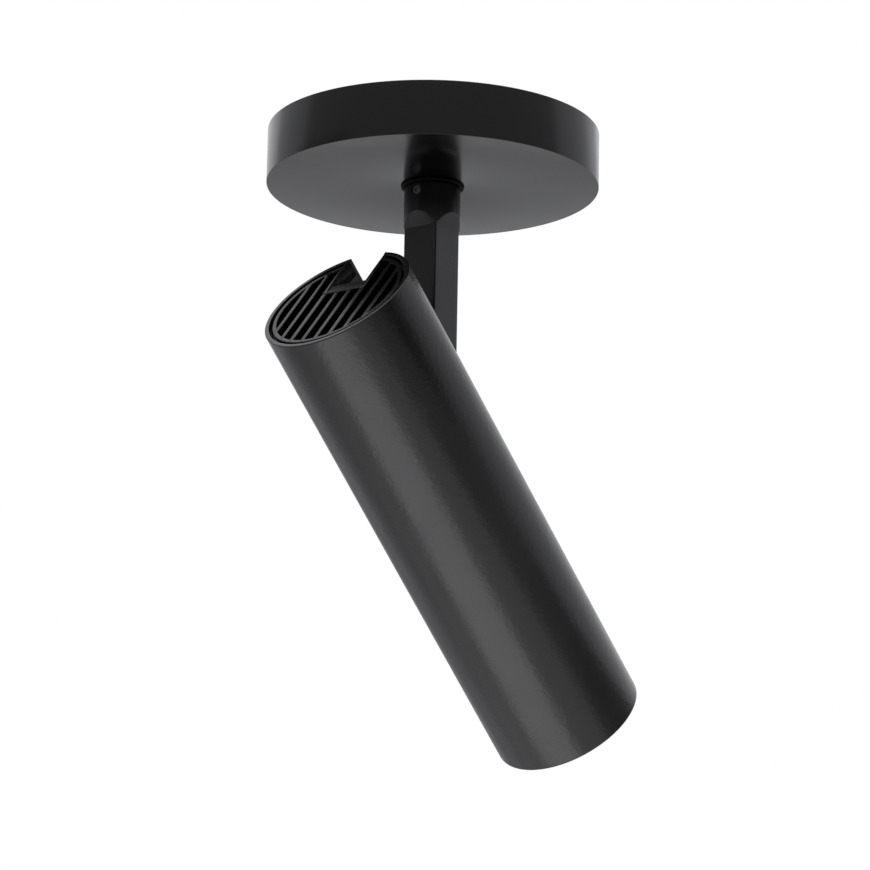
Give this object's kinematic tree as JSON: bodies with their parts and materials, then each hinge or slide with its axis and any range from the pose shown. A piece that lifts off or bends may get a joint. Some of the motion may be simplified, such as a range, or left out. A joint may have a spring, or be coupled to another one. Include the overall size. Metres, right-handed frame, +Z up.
{
  "type": "surface mounted ceiling spotlight",
  "caption": "Ceiling spotlight: a round canopy carries a square stem on a swivel, and a slotted cylindrical lamp with a slatted rear grille tilts on the stem's lower end.",
  "frame": {"origin": "centre of the canopy's flat ceiling face", "axes": "+Z up into the ceiling and along the swivel axis; the lamp tilts about an axis along Y, and its front end points towards +X and down in the rest pose"},
  "size_m": [0.1814, 0.12, 0.2221],
  "materials": {
    "canopy_paint": "satin black powder coat on aluminium",
    "stem_paint": "satin black powder coat on steel",
    "lamp_paint": "satin black powder coat on drawn aluminium tube",
    "grille_paint": "satin black coat on cast aluminium",
    "housing_paint": "satin black coat on cast aluminium",
    "baffle_plastic": "matte black moulding",
    "zinc_steel": "zinc plated",
    "black_steel": "blackened",
    "brass": "plain",
    "bronze": "sintered",
    "rubber": "moulded",
    "pad_rubber": "soft pad",
    "white_plastic": "moulded",
    "dark_plastic": "moulded",
    "black_nylon": "moulded nylon",
    "nylon": "moulded nylon",
    "green_board": "lacquered circuit board",
    "capacitor_can": "can",
    "wire_plastic": "insulated wire",
    "sink_aluminium": "plain extruded",
    "board_aluminium": "white lacquered board",
    "phosphor": "yellow emitting layer",
    "reflector_mirror": "bright reflector",
    "lens_glass": "clear"
  },
  "bodies": {
    "canopy": {"canopy_shell": "canopy_paint", "mounting_plate": "zinc_steel", "plate_clips": "zinc_steel", "lock_bracket": "zinc_steel", "lock_screw": "black_steel", "cable_grommet": "rubber", "terminal_block": "white_plastic", "terminal_screws": "brass", "earth_screw": "brass", "driver_case": "white_plastic", "driver_lid": "white_plastic", "driver_board": "green_board", "driver_transformer": "dark_plastic", "driver_capacitors": "capacitor_can", "swivel_bush": "nylon", "stop_pin": "zinc_steel"},
    "stem": {"stem": "stem_paint", "slip_washer": "black_nylon", "tab_washer": "zinc_steel", "spring_washer": "zinc_steel", "swivel_nut": "zinc_steel", "swivel_nipple": "zinc_steel", "stem_grub_screw": "black_steel", "stem_wires": "wire_plastic", "pivot_bush": "bronze"},
    "lamp": {"lamp_tube": "lamp_paint", "rear_grille": "grille_paint", "slot_housing": "housing_paint", "pivot_pin": "black_steel", "pin_retainer": "black_steel", "friction_washers": "black_nylon", "heat_sink": "sink_aluminium", "base_screws": "zinc_steel", "thermal_pad": "pad_rubber", "led_board": "board_aluminium", "led_emitter": "phosphor", "led_holder": "white_plastic", "holder_screws": "zinc_steel", "reflector": "reflector_mirror", "front_lens": "lens_glass", "lens_gasket": "rubber", "front_baffle": "baffle_plastic"}
  },
  "joints": [
    {"name": "swivel", "type": "hinge", "parent": "canopy", "child": "stem", "pos_m": [0, 0, -0.02], "axis": [0, 0, 1], "range_deg": [-165, 165]},
    {"name": "tilt", "type": "hinge", "parent": "stem", "child": "lamp", "pos_m": [0, 0, -0.0989], "axis": [0, 1, 0], "range_deg": [-40.84, 49.16]}
  ]
}
